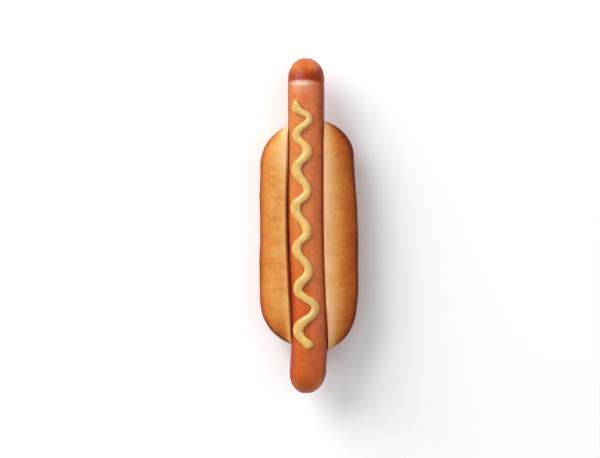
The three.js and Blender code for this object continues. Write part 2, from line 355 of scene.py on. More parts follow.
class BunSettings(PropertyGroup):
    """Sizes and colours of the bun."""

    half_width: FloatProperty(
        name="Half width", description="From the bun's middle to its side",
        default=32.1 * MM, unit="LENGTH")
    widest_height: FloatProperty(
        name="Widest height", description="Height at which the bun is widest",
        default=17.5 * MM, unit="LENGTH")
    top_rise: FloatProperty(
        name="Top rise", description="From the widest height to the top that an uncut bun would have",
        default=16.5 * MM, unit="LENGTH")
    bottom_drop: FloatProperty(
        name="Bottom drop", description="From the widest height down, before the ground presses it flat",
        default=19 * MM, unit="LENGTH")
    squareness: FloatProperty(
        name="Squareness", description="Exponent of the section's superellipse, 2 being round",
        default=2.3, min=1.5, max=5)
    lip_rounding: FloatProperty(
        name="Lip rounding", description="Width of the rounded edge beside the slot",
        default=1.9 * MM, unit="LENGTH")
    browning_left: FloatProperty(
        name="Browning at left", description="How soon the left lobe turns brown down its side",
        default=1.7, min=0)
    # The right lobe browns sooner as painted shade on the side away from the key light.
    browning_and_shade_right: FloatProperty(
        name="Browning at right", description="How soon the right lobe turns brown down its side",
        default=3.7, min=0)
    # The left top's bake beyond the right's is painted shade against the key light.
    top_bake_and_shade_left: FloatProperty(
        name="Bake on top at left", description="How baked the left lobe's top is",
        default=0.18, min=0, max=1)
    top_bake_right: FloatProperty(
        name="Bake on top at right", description="How baked the right lobe's top is",
        default=0.02, min=0, max=1)
    lumps: FloatProperty(
        name="Lumps", description="Height of the broad unevenness of the crust",
        default=0.2 * MM, unit="LENGTH")
    softest: FloatVectorProperty(
        name="Softest crust", description="Palest crust, beside the slot",
        default=(0.87, 0.505, 0.25), subtype="COLOR")
    pale: FloatVectorProperty(
        name="Pale crust", description="Crust on top of the lobes",
        default=(0.80, 0.355, 0.107), subtype="COLOR")
    golden: FloatVectorProperty(
        name="Golden crust", description="Crust half way down the sides",
        default=(0.65, 0.190, 0.031), subtype="COLOR")
    chestnut: FloatVectorProperty(
        name="Chestnut crust", description="Crust well down the sides",
        default=(0.52, 0.105, 0.016), subtype="COLOR")
    brown: FloatVectorProperty(
        name="Brown crust", description="Crust at the sides",
        default=(0.23, 0.038, 0.006), subtype="COLOR")
    darkest: FloatVectorProperty(
        name="Darkest crust", description="Darkest blotches of the crust",
        default=(0.13, 0.017, 0.003), subtype="COLOR")
    # Painted shade: dims the left lobe's crust, which the key light lights more.
    left_painted_shade: FloatVectorProperty(
        name="Left tone", description="Multiplies the left lobe's crust",
        default=(0.84, 0.98, 1), subtype="COLOR")
    crumb: FloatVectorProperty(
        name="Crumb", description="Inside of the bread, in the slot",
        default=(0.72, 0.50, 0.27), subtype="COLOR")
    # This colour is painted shade for the crevice between the slot's wall and the sausage.
    stain: FloatVectorProperty(
        name="Stained crumb", description="Crumb that has soaked up juice beside the sausage",
        default=(0.52, 0.11, 0.015), subtype="COLOR")


def corner_fields(s, end, settings):
    """Start, length and power of the lobes' corners at s, a smooth mix of the left and the right ones, and
    the share of the half width that the sausage takes where the lobe ends."""
    share = smoothstep(s, -LOBE_BLEND, LOBE_BLEND)
    left, right = (CORNERS[side, end] for side in ("left", "right"))
    start, length, power = (lerp(a, b, share) for a, b in zip(left, right))
    slots = []
    for (corner_start, corner_length, _), side in ((left, -1), (right, 1)):
        reach = corner_start + corner_length
        y = reach if end == "back" else -reach
        slots.append((sausage_radius() + SLOT_GAP + side * axis_x(y)) / settings.half_width)
    return start, length + END_TONGUE * (1 - s**2), power, lerp(*slots, share)


def sausage_radius():
    """The sausage's radius, which the slot and the mustard follow."""
    return bpy.context.scene.hot_dog_sausage.radius


def lip_angle(s, y):
    """The lip's angle in degrees: constant along the middle, and an S curve to another angle at either
    end."""
    angles = {}
    for side, middle in LIP_ANGLES.items():
        for end in ("back", "front"):
            angle, start, stop = LIP_END_ANGLES[side, end]
            angles[side, end] = lerp(middle, angle, smoothstep(np.abs(y), start, stop))
    left, right = (np.where(y > 0, angles[side, "back"], angles[side, "front"]) for side in LIP_ANGLES)
    return np.where(s < 0, left, right)


def slot_wall(s, y, full):
    """The wall of the slot: at an angle of s times the lip's angle round the sausage's axis, a circle just
    clear of the sausage, and below its tangent points two straight lines that meet in a rounded bottom."""
    angle = np.radians(lip_angle(s, y)) * s
    radius = sausage_radius() + SLOT_GAP
    height = axis_z(y)
    bottom = lerp(CUT_HEIGHT_AT_ENDS, CUT_HEIGHT, np.sqrt(full))
    tangent = np.arccos(np.minimum(1, radius / (height - bottom)))
    distance = radius / np.cos(np.maximum(0, tangent - np.hypot(angle, CUT_ROUNDING)))
    open_share = (1 - smoothstep(y, *GAP_CLOSES["back"])) * (1 - smoothstep(-y, *GAP_CLOSES["front"]))
    clearance = np.where(s < 0, LEFT_GAP * open_share, soft_ramp(-y, **FRONT_RIGHT_FLARE))
    distance = distance + clearance * smoothstep(np.abs(s), CLEARANCE_FROM, 1)
    return axis_x(y) + distance * np.sin(angle), height - distance * np.cos(angle)


def crust_section(s, y, lip_x, lip_z, settings):
    """The crust's section: a superellipse from the bottom to each lip, lowered near the lip by a quarter
    ellipse."""
    half_width = settings.half_width - np.where(s > 0, soft_ramp(y, **RIGHT_TAPER), 0)
    last = np.pi - np.arcsin((np.abs(lip_x) / half_width) ** (settings.squareness / 2))
    exponent = 2 / settings.squareness
    x = half_width * signed_power(np.sin(last * s), exponent)
    below = signed_power(np.cos(last * s), exponent)
    z = settings.widest_height - below * np.where(below > 0, settings.bottom_drop, settings.top_rise)
    lip_top = settings.widest_height + settings.top_rise * np.abs(np.cos(last)) ** exponent
    beyond = np.clip(1 - np.abs(x - lip_x) / settings.lip_rounding, 0, 1)
    drop = np.where(below > 0, 0, (lip_top - lip_z) * (1 - np.sqrt(1 - beyond**2)))
    return x, z - drop


def bun_surface(settings):
    """The bun on a grid: columns run round the section, over the crust from the right lip to the left one
    and back along the slot's wall, and rows run from the front end to the back. The crust is the wall plus
    the bread's thickness, which fades to nothing at both ends along the outline. Gives the points, and for
    each point s, whether it is on the crust, the thickness and the distance from the lip."""
    half = BUN_COLUMNS // 2
    over = crowded(half)[::-1]
    s = np.concatenate([over, over[-2:0:-1]])[None, :]
    on_crust = (np.arange(BUN_COLUMNS) <= half)[None, :]
    ends = {}
    for end in ("front", "back"):
        start, length, power, slot = corner_fields(s, end, settings)
        ends[end] = start + length * (1 - slot**power) ** (1 / power)
    along = crowded(BUN_ROWS)[:, None]
    y = (ends["back"] - ends["front"]) / 2 + (ends["back"] + ends["front"]) / 2 * along
    full = np.ones_like(y)
    for end, side in (("front", -1), ("back", 1)):
        start, length, power, slot = corner_fields(s, end, settings)
        into = np.maximum(0, (side * y - start) / length)
        outline = np.maximum(0, 1 - into**power) ** (1 / power)
        full = np.where(side * y > 0, np.maximum(0, (outline - slot) / (1 - slot)), full)
    full[[0, -1]] = 0
    wall_x, wall_z = slot_wall(s, y, full)
    lip_x, lip_z = slot_wall(np.where(s < 0, -1.0, 1.0), y, full)
    crust_x, crust_z = crust_section(s, y, lip_x, lip_z, settings)
    share = full * on_crust * (np.abs(s) < 1)
    x = wall_x + share * (crust_x - wall_x)
    z = wall_z + share * (crust_z - wall_z)
    z = GROUND_SOFTNESS * np.logaddexp(0, z / GROUND_SOFTNESS)
    points = np.stack(np.broadcast_arrays(x, y, z), axis=-1)
    fields = {"s": s, "on_crust": on_crust, "full": full, "from_lip": np.hypot(x - lip_x, z - lip_z)}
    return points, {name: np.broadcast_to(field, y.shape).ravel() for name, field in fields.items()}


def zipped_faces(rows, columns):
    """Quads of a ring surface whose first and last rings are folded flat and zipped along their middle,
    and the vertices that stay in use."""
    index = np.arange(rows * columns).reshape(rows, columns)
    folded = np.minimum(np.arange(columns), columns - np.arange(columns))
    index[0] = folded
    index[-1] = (rows - 1) * columns + folded
    faces = index.ravel()[ring_quads(rows, columns)]
    kept, faces = np.unique(faces, return_inverse=True)
    return kept, faces.reshape(-1, 4)


def crust_bake_and_shade(points, normals, s, from_lip, settings):
    """How baked the crust is, from about 0 to 1, with painted shade: it rises from the top's bake as 1 -
    exp(-browning times steepness), and again at the sides, at the left lobe's front end, which is painted
    shade, and at both ends of the right lobe. The left lobe's top is baked more and the right lobe browns
    sooner down its side, painted shade against the key light from the left. It falls underneath. Beside the
    lips a bell curve scales it down, on the left only towards the back."""
    steepness = np.arccos(np.clip(normals[:, 2], -1, 1)) / (np.pi / 2) * smoothstep(from_lip, *LIP_BEND)
    y = points[:, 1]
    rightness = lobe_tone(s)
    browning_and_shade = lerp(settings.browning_left, settings.browning_and_shade_right, rightness)
    on_top = lerp(settings.top_bake_and_shade_left, settings.top_bake_right, rightness)
    bake = on_top + (UPRIGHT_BAKE - on_top) * (1 - np.exp(-browning_and_shade * steepness))
    bake += SIDE_BAKE * smoothstep(steepness, *SIDE_STEEPNESS)
    bake += LEFT_FRONT_SHADE * (1 - rightness) * smoothstep(-y, *LEFT_FRONT_STRETCH)
    bake += RIGHT_ENDS_BAKE * rightness * smoothstep(np.abs(y - RIGHT_MIDDLE), *RIGHT_ENDS_STRETCH)
    bake -= UNDERSIDE_PALING * smoothstep(steepness, *UNDERSIDE_STEEPNESS)
    left_paling = lerp(*LEFT_LIP_PALING, smoothstep(y, *LEFT_LIP_STRETCH))
    paling = np.where(s < 0, left_paling, RIGHT_LIP_PALING) * np.exp(-((from_lip / LIP_PALING_REACH) ** 2))
    return bake * (1 - paling)


def lobe_tone(s):
    """0 on the left lobe, 1 on the right lobe, with a soft change under the bun."""
    return smoothstep(s, -TONE_BLEND, TONE_BLEND)


def bread_relief(points, s, on_crust, full, settings):
    """How far the bread stands out: on the crust broad lumps, smaller knobs and fine dimples, which fade at
    the lips, and in the slot pores. All of it fades where the lobes end."""
    lumps = unevenness(points, LUMPS_SIZE, 1) + KNOBS_SHARE * unevenness(points, KNOBS_SIZE, 2)
    crust = lumps * settings.lumps + DIMPLES_HEIGHT * unevenness(points, DIMPLES_SIZE, 3)
    pores = np.maximum(0, unevenness(points, PORES_SIZE, 4, PORES_WAVES) - PORES_FROM)
    at_lip = smoothstep(1 - np.abs(s), 0, RELIEF_FADES_AT_LIP)
    relief = np.where(on_crust, crust * at_lip, -PORES_DEPTH * pores)
    return relief * smoothstep(full, 0, RELIEF_FADES_AT_END)


def bun_material(settings):
    """Soft baked bread: pale beside the slot, golden and then brown down the sides, in soft blotches, with
    painted shade in the crust and on the slot's wall, over a porous cream crumb."""
    material, tree, shader = new_material("Baked bread", Roughness=0.75, Specular_IOR_Level=0.12,
                                          Subsurface_Weight=0.06, Subsurface_Scale=2 * MM)
    point = object_point(tree)
    blotches = noise(tree, point, BLOTCHES_SIZE, 3, 0.5)
    wrinkles = noise(tree, object_point(tree, WRINKLES_STRETCH), WRINKLES_SIZE, 3, 0.5)
    mottle = noise(tree, point, MOTTLE_SIZE, 4, 0.6)
    grain = noise(tree, point, GRAIN_SIZE, 2, 0.6)
    bake = attribute(tree, "bake")
    for pattern, shift in zip((blotches, wrinkles, mottle, grain), BAKE_SHIFTS):
        bake = maths(tree, "ADD", bake, remap(tree, pattern, *PATTERN_RANGE, -shift, shift))
    ramp = add_node(tree, "ShaderNodeValToRGB", Fac=maths(tree, "MULTIPLY", bake, BAKE_TO_RAMP))
    while len(ramp.color_ramp.elements) < len(RAMP_POSITIONS):
        ramp.color_ramp.elements.new(0.5)
    for element, (name, position) in zip(ramp.color_ramp.elements, RAMP_POSITIONS.items()):
        element.position = position
        element.color = (*getattr(settings, name), 1)
    # Painted shade on the left lobe.
    tone = mix_colours(tree, attribute(tree, "leftness"), (1, 1, 1), settings.left_painted_shade)
    crust = mix_colours(tree, 1.0, ramp.outputs["Color"], tone, "MULTIPLY")
    crumb_pattern = noise(tree, point, CRUMB_PATTERN_SIZE, 3, 0.6)
    crumb_shade = remap(tree, crumb_pattern, 0.3, 0.7, *CRUMB_SHADES)
    crumb = mix_colours(tree, 1.0, settings.crumb, crumb_shade, "MULTIPLY")
    # Painted shade of the crevice on the crumb.
    crumb = mix_colours(tree, attribute(tree, "stain"), crumb, settings.stain)
    ragged_edge = maths(tree, "ADD", attribute(tree, "crust"), remap(tree, mottle, 0.3, 0.7, -0.2, 0.2))
    colour = mix_colours(tree, remap(tree, ragged_edge, 0.35, 0.65), crumb, crust)
    tree.links.new(colour, shader.inputs["Base Color"])
    soft = bump(tree, mottle, 0.25 * MM, 0.4)
    creased = bump(tree, wrinkles, 0.2 * MM, 0.2, soft)
    tree.links.new(bump(tree, grain, 0.08 * MM, 0.5, creased), shader.inputs["Normal"])
    return material


class HOTDOG_OT_add_bun(Operator):
    """Adds the bun: a soft loaf with a slot for the sausage"""

    bl_idname = "hotdog.add_bun"
    bl_label = "Add bun"

    def execute(self, context):
        settings = context.scene.hot_dog_bun
        grid, fields = bun_surface(settings)
        kept, faces = zipped_faces(*grid.shape[:2])
        s, on_crust, full, from_lip = (fields[name][kept] for name in ("s", "on_crust", "full", "from_lip"))
        piece = make_piece("bun_bread", grid.reshape(-1, 3)[kept], faces, bun_material(settings))
        points, normals = vertex_values(piece.data)
        store(piece.data, "bake", crust_bake_and_shade(points, normals, s, from_lip, settings))
        store(piece.data, "leftness", 1 - lobe_tone(s))
        thinning = THIN_CRUST * smoothstep(np.abs(s), *CRUST_THINS)
        browned_crumb = BROWN_CRUMB * smoothstep(np.abs(s), *CRUMB_BROWNS)
        store(piece.data, "crust", np.where(on_crust, 1 - thinning, browned_crumb))
        # Painted shade on the slot's wall, fading towards the ends.
        stain = smoothstep(np.abs(s), *SHADE_UP_THE_WALL) * smoothstep(full, *SHADE_FROM_THE_END)
        store(piece.data, "stain", np.where(on_crust, 0, stain))
        moved = points + normals * bread_relief(points, s, on_crust, full, settings)[:, None]
        moved[:, 2] = np.maximum(moved[:, 2], 0)
        move_vertices(piece.data, moved)
        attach(piece, "root")
        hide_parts("bun")
        return {"FINISHED"}


# ---------- sausage ----------

SAUSAGE_COLUMNS, SAUSAGE_ROWS = 200, 300
# A pale strip across the bend near the back tip is a painted highlight, and just past it the skin has a
# shallow crease with painted shade in it. Each pair of numbers is where a change starts and where it is
# full.
STRIP_FROM, STRIP_TO, STRIP_SOFTNESS = 89.4 * MM, 92.8 * MM, 1.4 * MM
CREASE_FADES = (94.5 * MM, 103 * MM)
CREASE_FACES, PALE_FACES = (0, 0.5), (0, 0.3)  # how far up the skin faces where it has them
# Painted shade on the skin: down the sides, beside the left lobe, towards the front, round the tips and in
# the crease. Turn is 0 on top, -1 at the left and 1 at the right.
RIGHT_SIDE_SHADE, RIGHT_SIDE_FROM, RIGHT_SIDE_WIDENS = 0.85, (0.7, 0.5), (40 * MM, 75 * MM)
LEFT_SIDE_SHADE, LEFT_SIDE = 0.6, (0.8, 1)
BESIDE_LOBE_SHADE, BESIDE_LOBE, BESIDE_LOBE_STRETCH = 0.6, (0.55, 0.95), (-20 * MM, 40 * MM)
FRONT_SHADE, FRONT_STRETCH = 0.08, (15 * MM, 60 * MM)
FRONT_LEFT_SHADE, FRONT_LEFT_STRETCH, FRONT_LEFT_ENDS = 0.22, (5 * MM, 45 * MM), (-0.1, 0.5)
TIPS_MIDDLE, TIPS_STRETCH, TIP_RIM = 4 * MM, (88 * MM, 96 * MM), (0.35, 0.9)
TIP_RIM_SHADE, BACK_TIP_SHADE, CREASE_SHADE = 0.3, 0.22, 0.95
# Redness, and a painted sheen and a painted highlight, each over a range of turn.
REDNESS, REDNESS_TURN = (0.2, 0.8), (-0.7, 0.6)
FRONT_REDNESS, FRONT_REDNESS_STRETCH = 0.5, (10 * MM, 70 * MM)
SHEEN_FROM, SHEEN_TO, SHEEN_STRENGTHS, SHEEN_STRETCH = (-0.15, 0.35), (0.62, 0.9), (0.3, 0.65), (-85 * MM, -55 * MM)
BEFORE_STRIP_SHEEN, BEFORE_STRIP_FROM = 0.3, 80 * MM
STRIPE_SHEEN, STRIPE_STRETCH = 0.08, (-30 * MM, 20 * MM)
PALE_FROM, PALE_TO = (-0.95, -0.5), (-0.05, 0.5)
# Relief of the skin: size, height and seed of its waves, and the pucker at the tips.
SKIN_WAVES = ((22 * MM, 0.09 * MM, 11), (7 * MM, 0.035 * MM, 12))
PUCKER_RADIUS, PUCKER_REACH, PUCKER_DEPTH = 2.2 * MM, 6 * MM, 0.8 * MM
FOLDS, FOLD_DEPTH, FOLDS_FADE = 7, 0.25 * MM, 2 * MM


class SausageSettings(PropertyGroup):
    """Sizes and colours of the sausage."""

    length: FloatProperty(
        name="Length", description="From tip to tip",
        default=SAUSAGE_HIGH.y - SAUSAGE_LOW.y, unit="LENGTH")
    radius: FloatProperty(
        name="Radius", description="Of the straight part",
        default=11.8 * MM, unit="LENGTH")
    tip: FloatProperty(
        name="Tip", description="Length of each rounded tip",
        default=14.5 * MM, unit="LENGTH")
    axis_height: FloatProperty(
        name="Axis height", description="Of the middle stretch, above the ground",
        default=27 * MM, unit="LENGTH")
    crease: FloatProperty(
        name="Crease", description="Depth of the crease across the top, near the back tip",
        default=0.15 * MM, unit="LENGTH")
    orange: FloatVectorProperty(
        name="Orange skin", description="Lighter blotches of the skin",
        default=(0.55, 0.172, 0.025), subtype="COLOR")
    red: FloatVectorProperty(
        name="Red skin", description="Deeper blotches of the skin",
        default=(0.65, 0.127, 0.02), subtype="COLOR")
    # Painted sheen: a lighter, pinker stripe to the right of the top.
    painted_sheen_colour: FloatVectorProperty(
        name="Rosy skin", description="Stripe to the right of the top",
        default=(0.88, 0.25, 0.09), subtype="COLOR")
    # Painted shade: colour that stands in for shade down the sides, towards the ends and in the crease.
    painted_shade_colour: FloatVectorProperty(
        name="Dark skin", description="Skin down the sides and in the crease",
        default=(0.32, 0.035, 0.008), subtype="COLOR")
    # Painted highlight: the pale strip across the bend near the back tip.
    painted_highlight_colour: FloatVectorProperty(
        name="Stretched skin", description="Pale strip across the bend near the back tip",
        default=(0.66, 0.44, 0.34), subtype="COLOR")
    speck: FloatVectorProperty(
        name="Specks", description="Small dark specks in the skin",
        default=(0.20, 0.035, 0.012), subtype="COLOR")


def sausage_surface(settings):
    """A circle carried along the axis. Its radius is constant, and shrinks as a quarter ellipse in each
    tip."""
    y = settings.length / 2 * crowded(SAUSAGE_ROWS)[1:-1, None]
    into_tip = np.maximum(0, (np.abs(y) - (settings.length / 2 - settings.tip)) / settings.tip)
    radius = settings.radius * np.sqrt(1 - into_tip**2)
    angle = np.linspace(0, 2 * np.pi, SAUSAGE_COLUMNS, endpoint=False)[None, :]
    x = axis_x(y) + radius * np.sin(angle)
    z = axis_z(y) + radius * np.cos(angle)
    rings = np.stack(np.broadcast_arrays(x, y, z), axis=-1)
    poles = [(float(axis_x(end)), end, float(axis_z(end))) for end in tip_ends(settings)]
    return capped_tube(rings, *poles)


def tip_ends(settings):
    """Where the sausage ends, at the front and at the back."""
    return -settings.length / 2, settings.length / 2


def sausage_turn(points, radius):
    """How far round the sausage the points are: -1 at its left, 0 on top and 1 at its right."""
    return (points[:, 0] - axis_x(points[:, 1])) / radius


def crease_share(y, up):
    """Past the bend, the skin steps down into a crease across the top that fades out towards the tip."""
    into = smoothstep(y, STRIP_TO - STRIP_SOFTNESS, STRIP_TO + STRIP_SOFTNESS)
    return into * (1 - smoothstep(y, *CREASE_FADES)) * smoothstep(up, *CREASE_FACES)


def skin_painted_shade(y, turn, up, crease):
    """Painted shade: darker down the sides, most on the right, towards the front, most beside the left
    lobe, round the tips, all over the back tip and in the crease."""
    right_from = lerp(*RIGHT_SIDE_FROM, smoothstep(y, *RIGHT_SIDE_WIDENS))
    right_side = RIGHT_SIDE_SHADE * smoothstep(turn, right_from, 1)
    left_side = LEFT_SIDE_SHADE * smoothstep(-turn, *LEFT_SIDE)
    beside_lobe = smoothstep(-turn, *BESIDE_LOBE) * smoothstep(-y, *BESIDE_LOBE_STRETCH)
    front_left = smoothstep(-y, *FRONT_LEFT_STRETCH) * (1 - smoothstep(turn, *FRONT_LEFT_ENDS))
    tips = smoothstep(np.abs(y - TIPS_MIDDLE), *TIPS_STRETCH)
    darkness = np.where(turn > 0, right_side, left_side) + BESIDE_LOBE_SHADE * beside_lobe
    darkness += FRONT_SHADE * smoothstep(-y, *FRONT_STRETCH) + FRONT_LEFT_SHADE * front_left
    darkness += tips * (TIP_RIM_SHADE * smoothstep(1 - up, *TIP_RIM) + BACK_TIP_SHADE * (y > 0))
    return np.clip(darkness + CREASE_SHADE * crease, 0, 1)


def skin_painted_highlight(y, turn, up):
    """Painted highlight: the strip across the bend, fading in before it, and a faint painted sheen along
    the left of the top, towards the back."""
    highlight_strip = smoothstep(y, STRIP_FROM - STRIP_SOFTNESS, STRIP_FROM + STRIP_SOFTNESS)
    highlight_strip = highlight_strip * (1 - smoothstep(y, STRIP_TO - STRIP_SOFTNESS, STRIP_TO + STRIP_SOFTNESS))
    before = BEFORE_STRIP_SHEEN * smoothstep(y, BEFORE_STRIP_FROM, STRIP_FROM)
    sheen_stripe = STRIPE_SHEEN * smoothstep(y, *STRIPE_STRETCH)
    paleness = np.maximum(highlight_strip, np.maximum(before, sheen_stripe) * (y < STRIP_TO))
    paleness *= smoothstep(turn, *PALE_FROM) * (1 - smoothstep(turn, *PALE_TO))
    return paleness * smoothstep(up, *PALE_FACES)


def pucker(points, end):
    """How deep a tip is drawn in: a dimple, as a bell curve, with folds that run into it."""
    off = points - (axis_x(end), end, axis_z(end))
    out = np.hypot(off[:, 0], off[:, 2])
    round_tip = np.arctan2(off[:, 2], off[:, 0])
    near = np.exp(-((out / PUCKER_RADIUS) ** 2)) * (np.abs(off[:, 1]) < PUCKER_REACH)
    folds = np.sin(FOLDS * round_tip + 2 * np.sin(round_tip)) * smoothstep(out, 0, FOLDS_FADE)
    return near * (PUCKER_DEPTH + FOLD_DEPTH * folds)


def sausage_material(settings):
    """Satin skin in orange and red blotches, drawn out along the sausage, with small dark specks, painted
    shade down the sides and ends, a painted sheen and a painted highlight.
    """
    material, tree, shader = new_material("Sausage skin", Roughness=0.4, Specular_IOR_Level=0.1,
                                          Coat_Weight=0.12, Coat_Roughness=0.2, Subsurface_Weight=0.1,
                                          Subsurface_Scale=2 * MM)
    point = object_point(tree)
    blotches = noise(tree, object_point(tree, (1, 2.2, 1)), 9 * MM, 3, 0.55, 0.4)
    mottle = noise(tree, point, 1.8 * MM, 4, 0.65)
    share = maths(tree, "ADD", attribute(tree, "redness"), remap(tree, blotches, 0.32, 0.68, -0.3, 0.3))
    share = maths(tree, "ADD", share, remap(tree, mottle, 0.25, 0.75, -0.45, 0.45), clamp=True)
    colour = mix_colours(tree, share, settings.orange, settings.red)
    # Painted sheen to the right of the top.
    colour = mix_colours(tree, attribute(tree, "rosiness"), colour, settings.painted_sheen_colour)
    patches = noise(tree, point, 5 * MM, 2, 0.5, 0.6)
    # Painted shade from the mesh, with random mottle and patches of darker skin added.
    darkness = maths(tree, "ADD", attribute(tree, "darkness"), remap(tree, mottle, 0.45, 0.75, 0, 0.22))
    darkness = maths(tree, "ADD", darkness, remap(tree, patches, 0.42, 0.7, 0, 0.2), clamp=True)
    colour = mix_colours(tree, darkness, colour, settings.painted_shade_colour)
    # Painted highlight and sheen.
    colour = mix_colours(tree, attribute(tree, "paleness"), colour, settings.painted_highlight_colour)
    cells = add_node(tree, "ShaderNodeTexVoronoi", Vector=point, Scale=1 / (5 * MM), Randomness=1.0)
    specks = remap(tree, cells.outputs["Distance"], 0.10, 0.04)
    speckled = remap(tree, noise(tree, point, 14 * MM, 1), 0.42, 0.55, 0, 0.75)
    specks = maths(tree, "MULTIPLY", specks, speckled)
    colour = mix_colours(tree, specks, colour, settings.speck)
    tree.links.new(colour, shader.inputs["Base Color"])
    pebbles = noise(tree, point, 0.9 * MM, 2, 0.5)
    soft = bump(tree, mottle, 0.12 * MM, 0.35)
    tree.links.new(bump(tree, pebbles, 0.03 * MM, 0.4, soft), shader.inputs["Normal"])
    return material


class HOTDOG_OT_add_sausage(Operator):
    """Adds the sausage: a long frankfurter with rounded, puckered tips"""

    bl_idname = "hotdog.add_sausage"
    bl_label = "Add sausage"

    def execute(self, context):
        settings = context.scene.hot_dog_sausage
        piece = make_piece("sausage_skin", *sausage_surface(settings), sausage_material(settings))
        points, normals = vertex_values(piece.data)
        y, up = points[:, 1], normals[:, 2]
        turn = sausage_turn(points, settings.radius)
        crease = crease_share(y, up)
        # Painted shade on the skin.
        store(piece.data, "darkness", skin_painted_shade(y, turn, up, crease))
        # Painted highlight across the bend and painted sheen along the top.
        store(piece.data, "paleness", skin_painted_highlight(y, turn, up))
        redness = lerp(*REDNESS, smoothstep(turn, *REDNESS_TURN))
        store(piece.data, "redness", redness + FRONT_REDNESS * smoothstep(-y, *FRONT_REDNESS_STRETCH))
        # Painted sheen to the right of the top, none in the crease, stronger away from the front tip.
        rosiness = smoothstep(turn, *SHEEN_FROM) * (1 - smoothstep(turn, *SHEEN_TO)) * (1 - crease)
        store(piece.data, "rosiness", rosiness * lerp(*SHEEN_STRENGTHS, smoothstep(y, *SHEEN_STRETCH)))
        relief = waves_relief(points, SKIN_WAVES) - settings.crease * crease
        relief -= sum(pucker(points, end) for end in tip_ends(settings))
        move_vertices(piece.data, points + normals * relief[:, None])
        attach(piece, "root")
        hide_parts("sausage")
        return {"FINISHED"}


# ---------- mustard ----------

# The turns of the squiggle: how far along the sausage, and how far to the right of its axis.
MUSTARD_TURNS = np.array([
    (81, -7), (75.8, -5.9), (68.5, 1.9), (58.2, -6.2), (47.7, 0.7), (36.1, -6.2), (22.2, 0.7), (11.5, -6.9),
    (-3.9, 0.3), (-14.9, -6.5), (-28.7, 0.9), (-41.1, -6.5), (-52.9, 4.2), (-67.3, -7), (-82, 2.2),
]) * MM
MUSTARD_END = 13.8  # the squiggle stops in the last half turn
MUSTARD_ROUNDNESS = 0.15  # 0 swings as a plain cosine, and more makes fuller turns
HEADING_STEP = 1e-3  # in turns, to find which way the line heads
MUSTARD_COLUMNS, MUSTARD_ROWS, ROWS_CROWDED = 40, 900, 0.02
MUSTARD_SINK = 0.25 * MM  # how far the bead's underside lies in the skin
# Shares of the bead's width: how much it swells at its turns, and how thin it starts, with the turns
# between which it grows.
SWELL_AT_TURNS, SWELL_AT_LEFT_TURNS = 0.07, 0.06
START_SHARE, START_GROWS = 0.8, (2, 4)
# The start is drawn out to a peak that widens into a blob, and the end is blunt and a little thicker.
START_ROUNDING, END_ROUNDING = 0.8 * MM, 2.9 * MM
PEAK_WIDTH, PEAK_WIDENS, PEAK_LENGTH = 0.45, 0.65, 6 * MM
BLOB_SHRINKS, BLOB_END = 0.1, 10 * MM
PEAK_HEIGHT, PEAK_RISE = 0.55, 3 * MM
END_BULGE, END_BULGE_AT = 0.12, 3 * MM
PULSES = ((0.05, 3.1 * MM, 0), (0.04, 7.3 * MM, 1))  # depth, length and phase
# Orange where the bead is thin, low on its flanks and at its tips, where the sausage shows through; on the
# flanks it is also painted shade.
THIN_EDGE, THIN_TIP = (-0.2, 0.6), 0.5
# Painted light: the bead is paler along the top and right of the sausage, against the key light from the
# left, and less so towards the front.
PAINTED_LIGHT_TURN, FRONT_PAINTED_LIGHT, FRONT_PAINTED_LIGHT_STRETCH = (-0.6, 0), 0.7, (-30 * MM, 10 * MM)
MUSTARD_WAVES = ((5 * MM, 0.06 * MM, 21), (1.8 * MM, 0.02 * MM, 22))


class MustardSettings(PropertyGroup):
    """Sizes and colours of the mustard."""

    half_width: FloatProperty(
        name="Half width", description="Of the bead",
        default=2.8 * MM, unit="LENGTH")
    height: FloatProperty(
        name="Height", description="Of the bead above the skin",
        default=2.6 * MM, unit="LENGTH")
    flank: FloatProperty(
        name="Flank", description="Share of the height at which the bead is widest",
        default=0.35, min=0, max=1, subtype="FACTOR")
    yellow: FloatVectorProperty(
        name="Yellow", description="Colour down the left",
        default=(0.625, 0.39, 0.098), subtype="COLOR")
    # Painted light: the paler colour along the top and right.
    pale: FloatVectorProperty(
        name="Pale yellow", description="Colour along the top",
        default=(0.82, 0.515, 0.155), subtype="COLOR")
    deep: FloatVectorProperty(
        name="Deep yellow", description="Colour of the darker swirls",
        default=(0.66, 0.40, 0.105), subtype="COLOR")
    # Partly painted shade: warms the low flanks where shade falls, as well as the thin edges where the
    # sausage shows through.
    edge: FloatVectorProperty(
        name="Edge", description="Colour of the thin edges, where the sausage shows through",
        default=(0.74, 0.27, 0.045), subtype="COLOR")


def squiggle(t):
    """The bead's middle line at turn t: the distance across swings as half a cosine, and y changes evenly
    but for a sine that slows it between the turns and hurries it at them, which makes them fuller."""
    turn = np.clip(np.floor(t).astype(int), 0, len(MUSTARD_TURNS) - 2)
    part = t - turn
    start, stop = MUSTARD_TURNS[turn], MUSTARD_TURNS[turn + 1]
    progress = part + MUSTARD_ROUNDNESS * np.sin(2 * np.pi * part) / (2 * np.pi)
    swing = (1 - np.cos(np.pi * part)) / 2
    return lerp(start[..., 0], stop[..., 0], progress), lerp(start[..., 1], stop[..., 1], swing)


def bead_swell(t):
    """The bead's width at turn t as a share of its main width: it swells where it turns, most at the left
    turns, which are odd, and starts thinner."""
    swell = 1 + SWELL_AT_TURNS * np.cos(2 * np.pi * t) + SWELL_AT_LEFT_TURNS * np.cos(np.pi * (t - 1))
    return swell * lerp(START_SHARE, 1, smoothstep(t, *START_GROWS))


